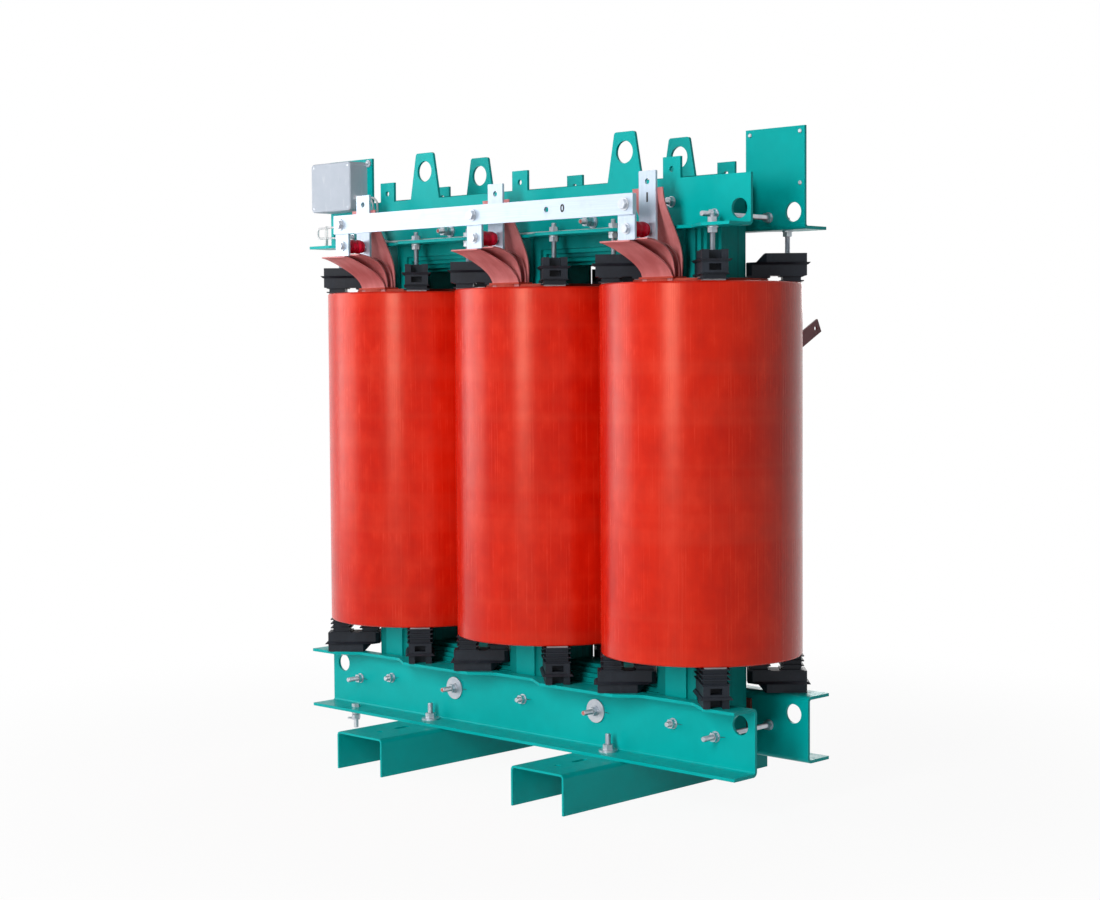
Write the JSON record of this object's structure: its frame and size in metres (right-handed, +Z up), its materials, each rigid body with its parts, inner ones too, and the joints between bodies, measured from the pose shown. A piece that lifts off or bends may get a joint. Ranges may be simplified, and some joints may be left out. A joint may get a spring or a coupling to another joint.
{
  "type": "dry type transformer",
  "caption": "Three-phase cast-resin dry type transformer: cylindrical red windings on a green clamped core, low-voltage bars in front, on two base channels.",
  "frame": {"origin": "centre of the footprint on the floor, under the middle winding", "axes": "+X along the row of windings towards the winding marked U, +Y towards the high-voltage side (back), +Z up"},
  "size_m": [1.39, 0.71, 1.487],
  "materials": {
    "green_paint": "teal-green satin paint",
    "core_paint": "teal-green paint over stacked sheet edges",
    "laminate": "red-brown pressed laminate",
    "lv_resin": "dark red resin with glass tape",
    "red_resin": "cast orange-red resin with a soft gloss",
    "block_plastic": "dark blue-grey moulding",
    "shim_plastic": "dark ribbed moulding",
    "rubber_pad": "black rubber",
    "zinc": "bright zinc plate",
    "aluminium_bar": "bare flat bar, dull brushed",
    "insulator_red": "bright red moulding",
    "foil_coat": "brick-red varnish on sheet",
    "box_grey": "pale blue-grey moulding",
    "gland_plastic": "pale grey moulding",
    "lead_white": "white cable jacket",
    "tie_nylon": "natural nylon",
    "copper_bar": "dark purplish-brown flat bar",
    "ink": "black ink",
    "lacquer": "red lacquer",
    "red_sleeve": "red sleeved rod"
  },
  "bodies": {
    "root": {"base_channel_left": "green_paint", "base_channel_right": "green_paint", "lower_clamp_front": "green_paint", "lower_clamp_back": "green_paint", "upper_clamp_front": "green_paint", "upper_clamp_back": "green_paint", "core_leg_u": "core_paint", "core_leg_v": "core_paint", "core_leg_w": "core_paint", "core_yoke_bottom": "core_paint", "core_yoke_top": "core_paint", "leg_tie_plates": "core_paint", "yoke_insulation_sheets": "laminate", "lv_coil_u": "lv_resin", "lv_coil_v": "lv_resin", "lv_coil_w": "lv_resin", "hv_coil_u": "red_resin", "hv_coil_v": "red_resin", "hv_coil_w": "red_resin", "lower_support_blocks": "block_plastic", "upper_support_blocks": "block_plastic", "support_shims": "shim_plastic", "coil_pads": "rubber_pad", "tie_rods": "zinc", "tie_rod_nuts": "zinc", "core_bolts": "zinc", "core_bolt_sleeves": "laminate", "core_bolt_washers": "zinc", "core_bolt_nuts": "zinc", "tie_plate_studs": "zinc", "tie_plate_nuts": "zinc", "support_bolts": "zinc", "support_studs": "zinc", "support_nuts": "zinc", "base_bolts": "zinc", "base_bolt_washers": "zinc", "base_bolt_nuts": "zinc", "earthing_bolt": "zinc", "phase_bar_u": "aluminium_bar", "phase_bar_v": "aluminium_bar", "phase_bar_w": "aluminium_bar", "neutral_bar": "aluminium_bar", "neutral_lead_bars": "aluminium_bar", "standoff_insulators": "insulator_red", "bar_bolts": "zinc", "insulator_screws": "zinc", "neutral_foils_front": "foil_coat", "neutral_foils_rear": "foil_coat", "phase_foils_front": "foil_coat", "phase_foils_rear": "foil_coat", "terminal_box": "box_grey", "terminal_box_lid": "box_grey", "terminal_box_screws": "zinc", "plate_rivets": "zinc", "cable_glands": "gland_plastic", "sensor_leads": "lead_white", "lead_ties": "tie_nylon", "hv_terminals": "copper_bar", "delta_links": "red_sleeve", "tap_hardware": "zinc"}
  },
  "joints": []
}
